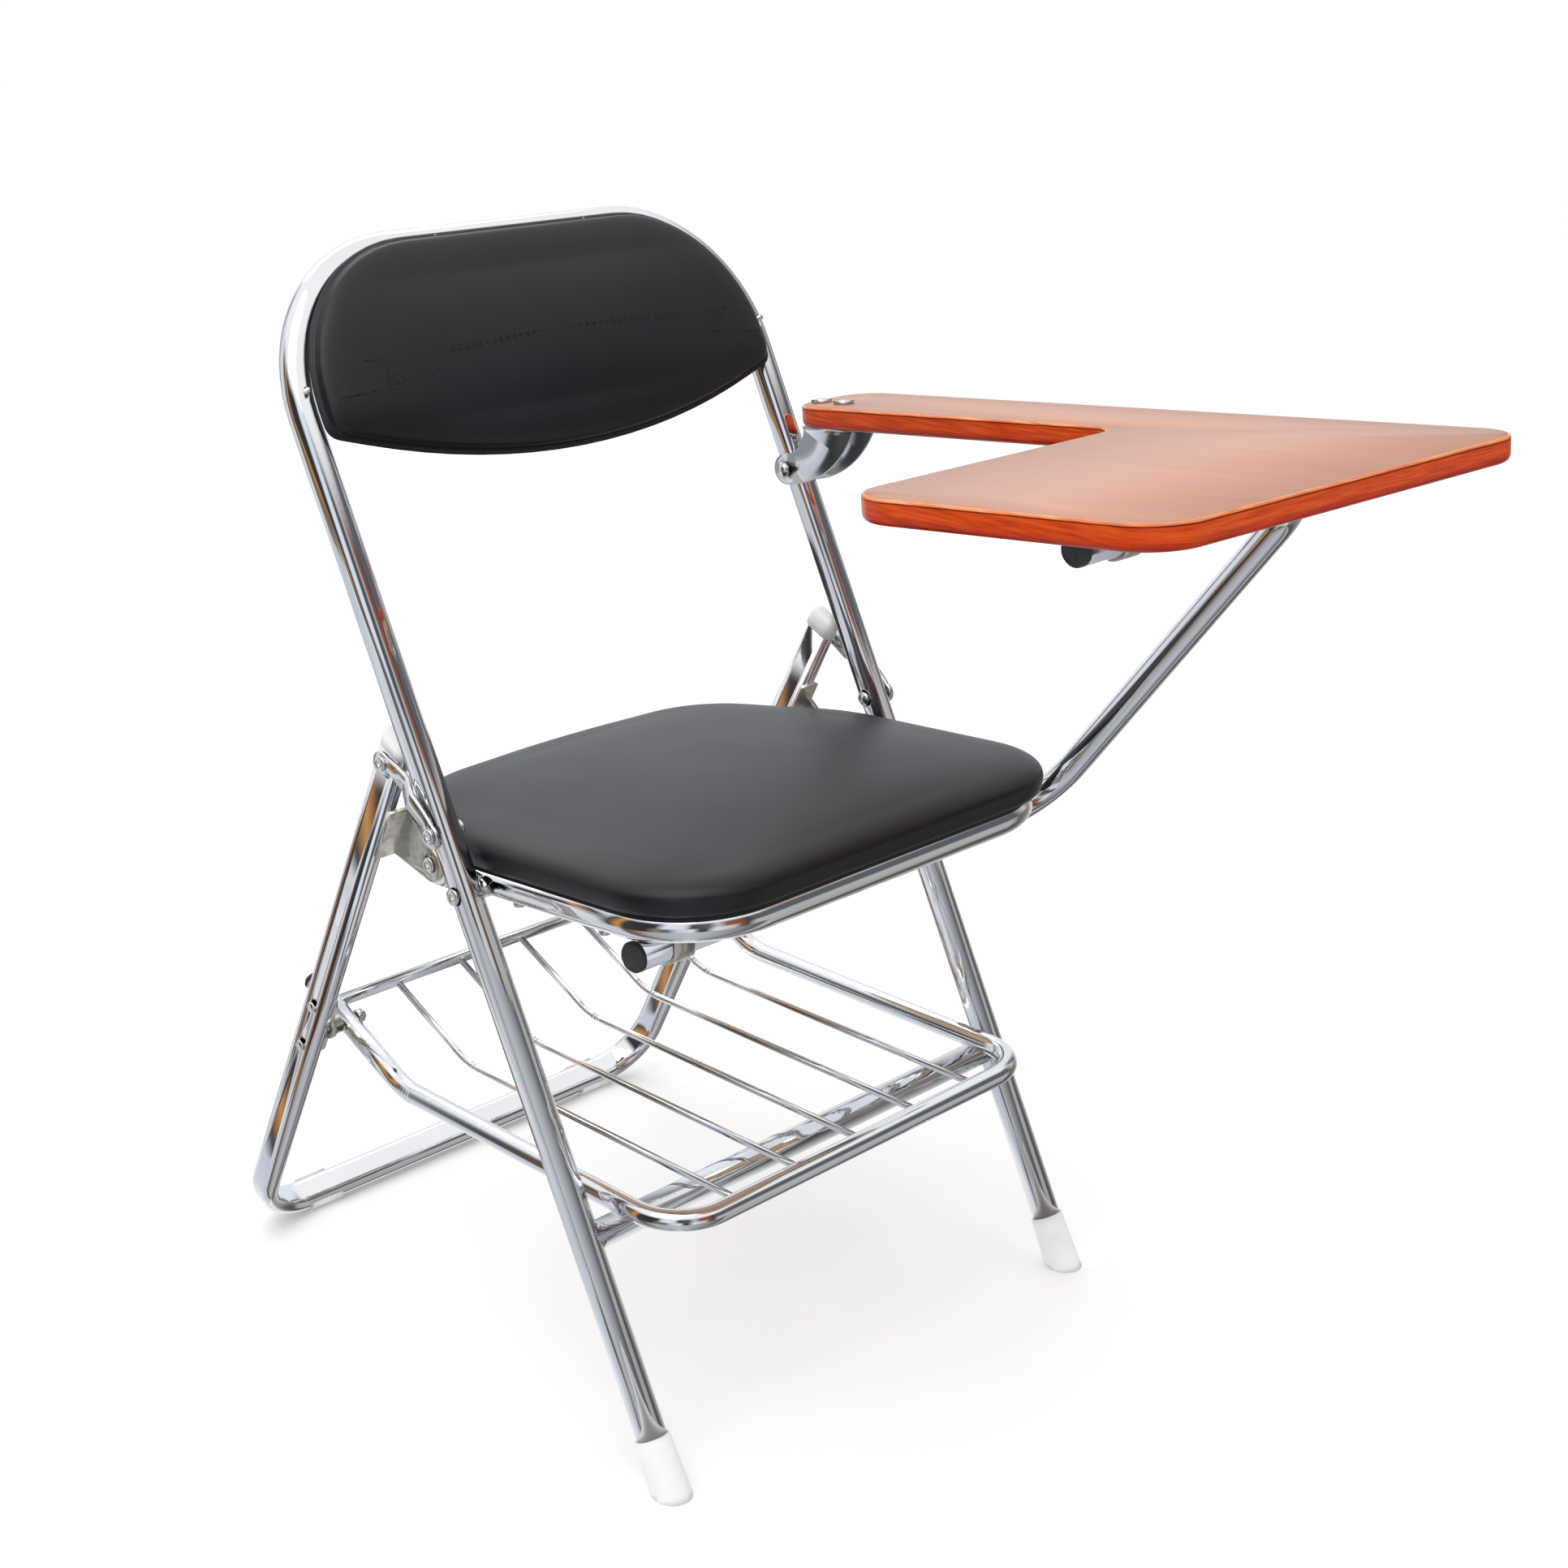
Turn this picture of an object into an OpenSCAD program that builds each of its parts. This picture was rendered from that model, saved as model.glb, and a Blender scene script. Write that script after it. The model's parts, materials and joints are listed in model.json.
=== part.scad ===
// Student desk chair: folding tube frame, padded seat and back, writing tablet
// on the sitter's left and a wire book basket under the seat.
// X points to the sitter's left, Y to the back, Z up. The chair faces -Y.

/* [Main frame] */
// Diameter of the main chrome tube, mm
tube_d = 22; // [18:0.5:28]
// Wall of every steel tube, mm
tube_wall = 1.5; // [0.8:0.1:3]
// Half the distance between the two main legs, mm
main_half = 216.5; // [180:0.5:260]
// Lean of the main legs to the back, degrees
main_lean = 26.6; // [15:0.1:35]
// Length of the main legs up to the top rail axis, mm
main_len = 896; // [800:1:980]
// Bend radius of the top corners, mm
hoop_r = 112; // [60:1:150]
// Distance of the front cross tube up the main legs, mm
cross_s = 187; // [120:1:240]
// Diameter of the front cross tube, mm
cross_d = 21; // [15:0.5:21.5]

/* [Back rest] */
// Width of the back pad, mm
back_w = 419; // [380:1:450]
// Top edge of the back pad along the frame, mm
back_top = 898; // [850:1:940]
// Lower edge of the back pad on the centre line, mm
back_low = 727; // [650:1:780]
// Slope of the lower edge towards each side, degrees
back_rise = 18; // [5:0.5:35]
// Thickness of the back board, mm
back_board_t = 6; // [4:0.5:12]
// Thickness of the back cushion, mm
back_pad_t = 13; // [8:0.5:40]

/* [Seat] */
// Half the distance between the two seat side tubes, mm
seat_half = 187; // [160:0.5:200]
// Tilt of the seat, front edge higher, degrees
seat_tilt = 4; // [0:0.5:10]
// Half width of the seat pad, mm
seat_pad_half = 203; // [180:0.5:204]
// Front edge of the seat pad ahead of the seat pivot, mm
seat_front = 211; // [160:1:240]
// Back edge of the seat pad behind the seat pivot, mm
seat_back = 166; // [120:1:190]
// Thickness of the seat board, mm
seat_board_t = 8; // [5:0.5:15]
// Thickness of the seat cushion, mm
seat_pad_t = 27; // [15:1:60]

/* [Rear frame] */
// Half the distance between the rear leg axes, mm
rear_half = 213; // [190:0.5:213]
// Width of the flat-oval rear tube, mm
rear_w = 14; // [10:0.5:14]
// Depth of the flat-oval rear tube, mm
rear_d = 27; // [20:0.5:32]
// Lean of the rear legs to the front, degrees
rear_lean = 27.2; // [15:0.1:35]
// Where the rear leg axis meets the floor, mm behind the main legs
rear_y = 521; // [450:1:580]
// Length of the rear legs, mm
rear_len = 545; // [543:1:560]

/* [Writing tablet] */
// Thickness of the tablet, mm
tablet_t = 17; // [12:0.5:22]
// Rise of the tablet towards the front, degrees
tablet_tilt = 5.2; // [0:0.1:12]
// Height of the top face above the main leg feet, mm
tablet_z = 688.5; // [640:0.5:740]
// Front edge of the tablet, mm ahead of the main leg feet
tablet_front = 298; // [240:1:340]
// Outer side edge of the tablet, mm
tablet_out = 277; // [262:1:300]
// Inner side edge of the tablet, mm
tablet_in = -95; // [-140:1:0]
// Diameter of the support tube, mm
support_d = 22; // [18:0.5:24]
// Sideways position of the support diagonal, mm
support_x = 245; // [240:0.5:260]

/* [Book basket] */
// Diameter of the basket side tube, mm
basket_d = 16; // [10:0.5:17]
// Half the distance between the basket side tubes, mm
basket_half = 187; // [150:0.5:188]
// Diameter of the basket wires, mm
wire_d = 5.5; // [3:0.5:8]
// Distance between neighbouring wires, mm
wire_pitch = 63; // [40:1:80]

/* [Hidden] */
$fn = 64;

// Offset that puts the floor point under the middle of the chair at the origin
shift_x = -22.05;
shift_y = -115.8;

chrome = [0.80, 0.81, 0.83];
zinc = [0.74, 0.71, 0.63];
black = [0.05, 0.05, 0.055];
white = [0.90, 0.89, 0.86];
ply = [0.62, 0.47, 0.30];
laminate = [0.72, 0.47, 0.38];
edge_wood = [0.62, 0.27, 0.13];

// Directions in the side view: along and ahead of the main legs and the rear legs
main_up = [0, sin(main_lean), cos(main_lean)];
main_ahead = [0, -cos(main_lean), sin(main_lean)];
rear_up = [0, -sin(rear_lean), cos(rear_lean)];
rear_ahead = [0, -cos(rear_lean), -sin(rear_lean)];

// Pivots of the folding frame
seat_pivot_s = 442;
link_pivot_s = 486.5;
link_end_t = 530.5;
seat_pivot = seat_pivot_s * main_up;
link_pivot = link_pivot_s * main_up;
link_end = [0, rear_y, 0] + link_end_t * rear_up;
rear_pivot = [0, 258.8, 395];
basket_pivot = [0, 398, 221.5];
support_low = [0, 62, 379];
support_high = [0, -160, 665];
tablet_hinge_s = 680;
tablet_hinge = tablet_hinge_s * main_up;

tube_r = tube_d / 2;
rivet_d = 8;
rivet_head_d = 12;
rivet_head_t = 1.9;
run_gap = 0.06;
big = 1000;

// ---- helpers ----
function unit(v) = v / norm(v);
function leg_in(pts, i) = unit(pts[i] - pts[i - 1]);
function leg_out(pts, i) = unit(pts[i + 1] - pts[i]);
function turn_at(pts, i) = acos(min(1, max(-1, leg_in(pts, i) * leg_out(pts, i))));
function is_end(pts, i) = i == 0 || i == len(pts) - 1;
function setback(pts, rad, i) = is_end(pts, i) ? 0 : rad[i] * tan(turn_at(pts, i) / 2);
function stretched(pts, e) = [for (i = [0 : len(pts) - 1])
    i == 0 ? pts[0] - e * leg_out(pts, 0)
    : i == len(pts) - 1 ? pts[i] + e * leg_in(pts, i)
    : pts[i]];
function side_of(d, up) = unit(cross(up, d));

// Rigid frame with its own X, Y and Z directions at a point
module frame_at(p, x, y, z) {
    multmatrix([[x[0], y[0], z[0], p[0]],
        [x[1], y[1], z[1], p[1]],
        [x[2], y[2], z[2], p[2]],
        [0, 0, 0, 1]])
        children();
}

// Sweeps a section along straight runs joined by true bends
module run_path(pts, rad, up) {
    for (i = [0 : len(pts) - 2]) {
        d = leg_out(pts, i);
        a = pts[i] + d * setback(pts, rad, i);
        b = pts[i + 1] - d * setback(pts, rad, i + 1);
        sx = side_of(d, up);
        frame_at(a, sx, cross(d, sx), d)
            linear_extrude(height = norm(b - a))
                children();
    }
    if (len(pts) > 2) {
        for (i = [1 : len(pts) - 2]) {
            t = leg_in(pts, i);
            n = unit(leg_out(pts, i) - (leg_out(pts, i) * t) * t);
            c = pts[i] - t * setback(pts, rad, i) + n * rad[i];
            left = n * side_of(t, up) > 0;
            frame_at(c, -n, t, cross(-n, t))
                rotate_extrude(angle = turn_at(pts, i))
                    translate([rad[i], 0])
                        mirror(left ? [1, 0, 0] : [0, 1, 0])
                            children();
        }
    }
}

// Round tube along a path, hollow from end to end
module bent_tube(pts, rad, d, wall, up) {
    difference() {
        run_path(pts, rad, up)
            circle(d = d);
        run_path(stretched(pts, 1), rad, up)
            circle(d = d - 2 * wall);
    }
}

// Flat-oval section, w wide and d deep
module flat_oval(w, d) {
    square([w, d - w], center = true);
    for (s = [-1, 1])
        translate([0, s * (d - w) / 2])
            circle(d = w);
}

// Cylinder along X between two sideways positions
module x_rod(p, x0, x1, d) {
    translate([min(x0, x1), p[1], p[2]])
        rotate([0, 90, 0])
            cylinder(h = abs(x1 - x0), d = d);
}

// Flat 2-D region with rounded corners; convex corners turn anticlockwise
function wrap(pts, i) = pts[(i + len(pts)) % len(pts)];
function c_in(pts, i) = unit(wrap(pts, i) - wrap(pts, i - 1));
function c_out(pts, i) = unit(wrap(pts, i + 1) - wrap(pts, i));
function c_turn(pts, i) = acos(c_in(pts, i) * c_out(pts, i));
function c_back(pts, rad, i) = rad[i] * tan(c_turn(pts, i) / 2);
function c_left(pts, i) = cross(c_in(pts, i), c_out(pts, i)) > 0;
function c_start(pts, rad, i) = pts[i] - c_in(pts, i) * c_back(pts, rad, i);
function c_stop(pts, rad, i) = pts[i] + c_out(pts, i) * c_back(pts, rad, i);
function c_mid(pts, rad, i) = pts[i]
    + unit(c_out(pts, i) - c_in(pts, i)) * rad[i] / cos(c_turn(pts, i) / 2);
module rounded_region(pts, rad) {
    last = len(pts) - 1;
    difference() {
        union() {
            polygon([for (i = [0 : last]) each rad[i] == 0 ? [pts[i]]
                : [c_start(pts, rad, i), c_stop(pts, rad, i)]]);
            for (i = [0 : last])
                if (rad[i] > 0 && c_left(pts, i))
                    intersection() {
                        translate(c_mid(pts, rad, i))
                            circle(r = rad[i]);
                        polygon([c_start(pts, rad, i), pts[i], c_stop(pts, rad, i),
                            (c_start(pts, rad, i) + c_stop(pts, rad, i)) / 2
                            + 3 * unit(c_mid(pts, rad, i) - pts[i])]);
                    }
        }
        for (i = [0 : last])
            if (rad[i] > 0 && !c_left(pts, i))
                translate(c_mid(pts, rad, i))
                    circle(r = rad[i]);
    }
}

// The same rounded outline as one list of points, n steps to a corner
function arc_points(pts, rad, i, n) = [for (k = [0 : n])
    let (a = c_start(pts, rad, i) - c_mid(pts, rad, i),
        t = (c_left(pts, i) ? 1 : -1) * c_turn(pts, i) * k / n)
    c_mid(pts, rad, i) + [a[0] * cos(t) - a[1] * sin(t), a[0] * sin(t) + a[1] * cos(t)]];
function outline(pts, rad, n) = [for (i = [0 : len(pts) - 1]) each arc_points(pts, rad, i, n)];

// Round rod through a list of points, with a ball at each bend point
module ball_run(pts, d) {
    for (i = [0 : len(pts) - 2]) {
        t = leg_out(pts, i);
        sx = side_of(t, abs(t[2]) > 0.9 ? [1, 0, 0] : [0, 0, 1]);
        frame_at(pts[i], sx, cross(t, sx), t)
            cylinder(h = norm(pts[i + 1] - pts[i]), d = d);
    }
    for (i = [1 : len(pts) - 2])
        translate(pts[i])
            sphere(d = d + 0.08);
}

module both_sides() {
    children();
    mirror([1, 0, 0])
        children();
}

// Places things drawn along the main legs: X across, Y behind, Z up the leg
module on_main() {
    rotate([-main_lean, 0, 0])
        children();
}
// Places things drawn along the rear legs: X across, -Y ahead, Z up the leg
module on_rear() {
    translate([0, rear_y, 0])
        rotate([rear_lean, 0, 0])
            children();
}
// Places things drawn on the seat plane with the seat pivot at the origin
module on_seat() {
    translate([0, seat_pivot[1], seat_pivot[2]])
        rotate([-seat_tilt, 0, 0])
            children();
}
// Places things drawn on the tablet: Z = 0 is the underside
module on_tablet() {
    translate([0, 0, tablet_z])
        rotate([-tablet_tilt, 0, 0])
            translate([0, 0, -tablet_t])
                children();
}
// Moves the whole chair so that the origin sits under its middle
module whole() {
    translate([shift_x, shift_y, 0])
        children();
}

// Tubular rivet along X: head outwards at x1 with a recessed hole
module rivet_x(p, x0, x1, d, head_d, head_t) {
    s = x1 > x0 ? 1 : -1;
    difference() {
        union() {
            x_rod(p, x0, x1 + s * 0.01, d);
            x_rod(p, x1, x1 + s * head_t, head_d);
        }
        x_rod(p, x1 + s * head_t + s, x1 - s * 2, d * 0.5);
    }
}

// ---- main frame body ----
foot_s = 16;
foot_cap_top = 42;
foot_cap_d1 = 30;
foot_cap_d2 = 25.6;
main_pts = [[-main_half, 0, foot_s], [-main_half, 0, main_len],
    [main_half, 0, main_len], [main_half, 0, foot_s]];
main_rad = [0, hoop_r, hoop_r, 0];

module main_frame() {
    color(chrome) whole() difference() {
        on_main()
            bent_tube(main_pts, main_rad, tube_d, tube_wall, [0, 1, 0]);
        x_rod(seat_pivot, -main_half - 20, main_half + 20, rivet_d);
        x_rod(link_pivot, -main_half - 20, main_half + 20, rivet_d);
        back_screw_spots()
            translate([0, 0, -tube_d])
                cylinder(h = 2 * tube_d, d = back_screw_d);
    }
}

module front_cross_tube() {
    p = cross_s * main_up;
    color(chrome) whole() difference() {
        x_rod(p, -main_half, main_half, cross_d);
        x_rod(p, -main_half - 1, main_half + 1, cross_d - 2 * tube_wall);
        both_sides()
            on_main()
                translate([main_half, 0, cross_s - 40])
                    cylinder(h = 80, d = tube_d);
    }
}

module foot_caps() {
    color(white) whole() both_sides() difference() {
        on_main()
            translate([main_half, 0, -20])
                cylinder(h = foot_cap_top + 20, d1 = foot_cap_d1, d2 = foot_cap_d2);
        on_main()
            translate([main_half, 0, foot_s])
                cylinder(h = 60, d = tube_d);
        translate([main_half - 50, -50, -60])
            cube([100, 100, 60]);
    }
}

// Outline of the back pad, grown sideways and up by g
back_low_r = 600;
back_corner_r = 10;
back_top_r = 112;
back_arc_n = 8;
function back_arc(a, g) = [(back_low_r + g) * sin(a), back_low + back_low_r
    - (back_low_r + g) * cos(a)];
function back_side(g) = back_w / 2 + g;
function back_low_side(g) = back_arc(back_rise, g)[1]
    + (back_side(g) - back_arc(back_rise, g)[0]) * tan(back_rise);
function back_pts(g) = concat([for (k = [-back_arc_n : back_arc_n])
        back_arc(k * back_rise / back_arc_n, g)],
    [[back_side(g), back_low_side(g)], [back_side(g), back_top + g],
        [-back_side(g), back_top + g], [-back_side(g), back_low_side(g)]]);
function back_rad(g) = concat([for (k = [-back_arc_n : back_arc_n]) 0],
    [back_corner_r + g, back_top_r + g, back_top_r + g, back_corner_r + g]);

// Slab of the back rest from y0 to y1 ahead of the main leg axis
module back_slab(g, y0, y1) {
    on_main()
        translate([0, -y0, 0])
            rotate([90, 0, 0])
                linear_extrude(height = y1 - y0)
                    rounded_region(back_pts(g), back_rad(g));
}
back_y1 = tube_r + back_board_t;
back_screw_top_x = 70;
back_screw_side_s = 800;
back_screw_d = 4;
back_screw_head_d = 9;
back_screw_head_t = 2.5;

// Screw axes of the back rest, drawn along +Z ahead from the tube axis
module back_screw_spots() {
    on_main()
        both_sides() {
            translate([back_screw_top_x, 0, main_len - 2])
                rotate([90, 0, 0])
                    children();
            translate([main_half - 1, 0, back_screw_side_s])
                rotate([90, 0, 0])
                    children();
        }
}

module backrest_board() {
    color(ply) whole() difference() {
        back_slab(-3, tube_r, back_y1);
        back_screw_spots()
            cylinder(h = back_y1 - 1, d = back_screw_d);
    }
}
module backrest_pad() {
    color(black) whole() union() {
        back_slab(0, back_y1, back_y1 + back_pad_t * 0.7);
        back_slab(-7, back_y1 + back_pad_t * 0.7, back_y1 + back_pad_t);
    }
}
module backrest_screws() {
    color(chrome) whole() back_screw_spots() union() {
        translate([0, 0, -tube_r])
            cylinder(h = back_y1 + tube_r - 1.5, d = back_screw_d);
        translate([0, 0, -tube_r - back_screw_head_t])
            cylinder(h = back_screw_head_t, d = back_screw_head_d);
    }
}

// Pivot rivets of the seat and the links on the main legs
main_out = main_half + tube_r;
main_in = main_half - tube_r;
seat_in = seat_half - tube_r;
seat_out = seat_half + tube_r;
spacer_d = 15;
link_t = 3;
link_gap = 0.3;
link_front_x = main_out + link_gap;

module seat_pivot_rivets() {
    color(chrome) whole() both_sides() union() {
        rivet_x(seat_pivot, seat_in - 1, main_out, rivet_d, rivet_head_d, rivet_head_t);
        x_rod(seat_pivot, seat_in - 2.4, seat_in - 0.4, rivet_d + 3);
    }
}
module pivot_spacers() {
    color(chrome) whole() both_sides() difference() {
        x_rod(seat_pivot, seat_out + link_gap, main_half, spacer_d);
        x_rod(seat_pivot, seat_out - 1, main_half + 1, rivet_d);
        on_main()
            translate([main_half, 0, seat_pivot_s - 30])
                cylinder(h = 60, d = tube_d);
    }
}
module link_pivot_rivets() {
    color(chrome) whole() both_sides() union() {
        rivet_x(link_pivot, main_in + 1, link_front_x + link_t + 0.2, rivet_d,
            rivet_head_d, rivet_head_t);
        x_rod(link_pivot, main_in - 1.5, main_in, rivet_d + 3);
        x_rod(link_pivot, main_in - 0.5, main_in + 2, rivet_d);
    }
}

// ---- links ----
link_w = 15;
link_eye_d = 17;
link_rear_x = rear_half + rear_w / 2 + 1.2;
link_len = norm(link_end - link_pivot);
link_sag = 6;
link_arc_r = (link_len * link_len / 4 + link_sag * link_sag) / (2 * link_sag);
link_dir = unit(link_end - link_pivot);

// Side outline of a link: X from the lower eye to the upper one
module link_outline() {
    circle(d = link_eye_d);
    translate([link_len, 0])
        circle(d = link_eye_d);
    intersection() {
        translate([link_len / 2, link_sag - link_arc_r])
            difference() {
                circle(r = link_arc_r + link_w / 2);
                circle(r = link_arc_r - link_w / 2);
            }
        square([link_len, 40]);
    }
}
// Joggled strip seen from above: X along the link, Y outwards
module link_strip() {
    x0 = link_front_x;
    x1 = link_rear_x;
    j0 = link_len * 0.42;
    j1 = link_len * 0.62;
    polygon([[-20, x0], [j0, x0], [j1, x1], [link_len + 20, x1],
        [link_len + 20, x1 + link_t], [j1, x1 + link_t], [j0, x0 + link_t],
        [-20, x0 + link_t]]);
}
module link_one() {
    frame_at(link_pivot, link_dir, cross([1, 0, 0], link_dir), [1, 0, 0])
        difference() {
            intersection() {
                linear_extrude(height = big)
                    link_outline();
                translate([0, 20, 0])
                    rotate([90, 0, 0])
                        translate([0, 0, -30])
                            linear_extrude(height = 60)
                                link_strip();
            }
            cylinder(h = big, d = rivet_d + 2 * run_gap);
            translate([link_len, 0, 0])
                cylinder(h = big, d = rivet_d);
        }
}
module link_left() {
    color(chrome) whole() link_one();
}
module link_right() {
    color(chrome) whole() mirror([1, 0, 0]) link_one();
}
module link_end_rivets() {
    color(chrome) whole() both_sides()
        rivet_x(link_end, link_rear_x, link_rear_x + link_t, rivet_d,
            rivet_head_d, rivet_head_t);
}

// ---- seat body ----
seat_end = rear_pivot - seat_pivot;
seat_end_y = seat_end[1] * cos(seat_tilt) - seat_end[2] * sin(seat_tilt);
seat_rail_y = 193;
seat_corner_r = 68;
tab_t = 5;
tab_w = 24;
tab_x = seat_out - tab_t;
seat_tube_end = 34;
seat_pts = [[-seat_half, seat_tube_end, 0], [-seat_half, -seat_rail_y, 0],
    [seat_half, -seat_rail_y, 0], [seat_half, seat_tube_end, 0]];
seat_rad = [0, seat_corner_r, seat_corner_r, 0];

// Flattened tube end with a rounded eye for the rear pivot
module seat_tab() {
    translate([tab_x, 0, 0])
        rotate([90, 0, 90])
            linear_extrude(height = tab_t) {
                translate([seat_tube_end - 6, -tab_w / 2])
                    square([seat_end_y - seat_tube_end + 6, tab_w]);
                translate([seat_end_y, 0])
                    circle(d = tab_w);
            }
}
module seat_frame() {
    color(chrome) whole() difference() {
        on_seat() {
            bent_tube(seat_pts, seat_rad, tube_d, tube_wall, [0, 0, 1]);
            both_sides() {
                seat_tab();
                translate([seat_half, seat_tube_end - 0.01, 0])
                    rotate([-90, 0, 0])
                        cylinder(h = 2, d = tube_d);
            }
        }
        x_rod(seat_pivot, -main_half, main_half, rivet_d + 2 * run_gap);
        x_rod(rear_pivot, -main_half, main_half, rivet_d + 2 * run_gap);
        seat_screw_spots()
            translate([0, 0, -tube_d])
                cylinder(h = 2 * tube_d, d = 4);
    }
}

// Outline of the seat pad grown by g: X across, Y behind the seat pivot
function seat_outline(g) = [[-seat_pad_half - g, -seat_front - g],
    [seat_pad_half + g, -seat_front - g],
    [seat_pad_half + g, 22],
    [152 + g, seat_back - 6 + g],
    [0, seat_back + 4 + g],
    [-152 - g, seat_back - 6 + g],
    [-seat_pad_half - g, 22]];
function seat_outline_rad(g) = [78 + g, 78 + g, 140 + g, 66 + g, 900, 66 + g, 140 + g];

module seat_slab(g, z0, z1) {
    on_seat()
        translate([0, 0, z0])
            linear_extrude(height = z1 - z0)
                rounded_region(seat_outline(g), seat_outline_rad(g));
}
seat_board_z = tube_r + seat_board_t;
module seat_board() {
    color(ply) whole() difference() {
        seat_slab(-7, tube_r, seat_board_z);
        seat_screw_spots()
            cylinder(h = seat_board_z - 1.5, d = 4);
        clip_screw_spots()
            translate([0, 0, -1])
                cylinder(h = 6, d = 3.5);
    }
}
module seat_pad() {
    color(black) whole() union() {
        seat_slab(0, seat_board_z, seat_board_z + seat_pad_t * 0.7);
        seat_slab(-14, seat_board_z + seat_pad_t * 0.7, seat_board_z + seat_pad_t);
    }
}
// Screws up through the seat frame into the seat board
module seat_screw_spots() {
    on_seat()
        both_sides()
            for (y = [-110, -20])
                translate([seat_half, y, 0])
                    children();
}
module seat_screws() {
    color(chrome) whole() seat_screw_spots() union() {
        translate([0, 0, -tube_r])
            cylinder(h = seat_board_z + tube_r - 2, d = 4);
        translate([0, 0, -tube_r - 2.5])
            cylinder(h = 2.5, d = 9);
    }
}

// Saddle clips that hang the support tube under the seat board
clip_x = 150;
clip_w = 18;
clip_t = 2.5;
clip_foot = 16;
low_local = [0,
    (support_low - seat_pivot)[1] * cos(seat_tilt) - (support_low - seat_pivot)[2] * sin(seat_tilt),
    (support_low - seat_pivot)[1] * sin(seat_tilt) + (support_low - seat_pivot)[2] * cos(seat_tilt)];
clip_in_r = support_d / 2 + run_gap;
clip_out_r = clip_in_r + clip_t;

module clip_profile(rise) {
    difference() {
        union() {
            circle(r = clip_out_r);
            translate([-clip_out_r, 0])
                square([2 * clip_out_r, rise]);
            translate([-clip_out_r - clip_foot, rise - clip_t])
                square([2 * (clip_out_r + clip_foot), clip_t]);
        }
        circle(r = clip_in_r);
        translate([-clip_in_r, 0])
            square([2 * clip_in_r, rise + 1]);
    }
}
module clip_spots() {
    on_seat()
        for (x = [-clip_x, clip_x])
            translate([x, low_local[1], low_local[2]])
                children();
}
module support_clips() {
    color(zinc) whole() difference() {
        clip_spots()
            translate([-clip_w / 2, 0, 0])
                rotate([90, 0, 90])
                    linear_extrude(height = clip_w)
                        clip_profile(tube_r - low_local[2]);
        clip_screw_spots()
            translate([0, 0, -6])
                cylinder(h = 12, d = 3.5);
    }
}
// Screw spots on the clip feet, at the underside of the seat board
module clip_screw_spots() {
    clip_spots()
        for (s = [-1, 1])
            translate([0, s * (clip_out_r + clip_foot / 2 + 1), tube_r - low_local[2]])
                children();
}
module clip_screws() {
    color(chrome) whole() clip_screw_spots() union() {
        translate([0, 0, -clip_t - 2])
            cylinder(h = 2, d = 7);
        translate([0, 0, -clip_t])
            cylinder(h = clip_t + 4.5, d = 3.5);
    }
}

// ---- rear frame body ----
rear_cross_t = 13.46;
rear_bend_r = 48;
rear_pts = [[-rear_half, 0, rear_len], [-rear_half, 0, rear_cross_t],
    [rear_half, 0, rear_cross_t], [rear_half, 0, rear_len]];
rear_rad = [0, rear_bend_r, rear_bend_r, 0];
rear_bolt_t = (basket_pivot - [0, rear_y, 0]) * rear_up;
rear_bolt_n = (basket_pivot - [0, rear_y, 0]) * rear_ahead;
bracket_rivet_up = 22;

module rear_frame() {
    color(chrome) whole() on_rear() difference() {
        run_path(rear_pts, rear_rad, [0, 1, 0])
            flat_oval(rear_w, rear_d);
        run_path(stretched(rear_pts, 1), rear_rad, [0, 1, 0])
            flat_oval(rear_w - 2 * tube_wall, rear_d - 2 * tube_wall);
        bracket_rivet_spots()
            x_rod([0, 0, 0], rear_half - 20, rear_half + 20, 5);
    }
}
module rear_caps() {
    cap_w = rear_w + 1.6;
    cap_d = rear_d + 1.6;
    color(white) whole() on_rear() both_sides() translate([rear_half, 0, 0]) difference() {
        union() {
            translate([0, 0, rear_len - 5])
                linear_extrude(height = 9)
                    flat_oval(cap_w, cap_d);
            translate([0, 0, rear_len + 4]) {
                for (s = [-1, 1])
                    translate([0, s * (cap_d - cap_w) / 2, 0])
                        sphere(d = cap_w);
                rotate([90, 0, 0])
                    translate([0, 0, -(cap_d - cap_w) / 2])
                        cylinder(h = cap_d - cap_w, d = cap_w);
            }
        }
        translate([0, 0, rear_len - 30])
            linear_extrude(height = 30)
                flat_oval(rear_w, rear_d);
    }
}
glide_x = 150;
glide_w = 30;
glide_t = 2;
module floor_glides() {
    color(white) whole() on_rear() both_sides() difference() {
        translate([glide_x - glide_w / 2, 0, rear_cross_t])
            rotate([90, 0, 90])
                linear_extrude(height = glide_w)
                    rotate(90)
                        flat_oval(rear_w + 2 * glide_t, rear_d + 2 * glide_t);
        translate([glide_x - glide_w, 0, rear_cross_t])
            rotate([90, 0, 90])
                linear_extrude(height = 2 * glide_w)
                    rotate(90)
                        flat_oval(rear_w, rear_d);
        translate([glide_x - glide_w, -rear_d, rear_cross_t + 3])
            cube([2 * glide_w, 2 * rear_d, rear_d]);
    }
}

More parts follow.
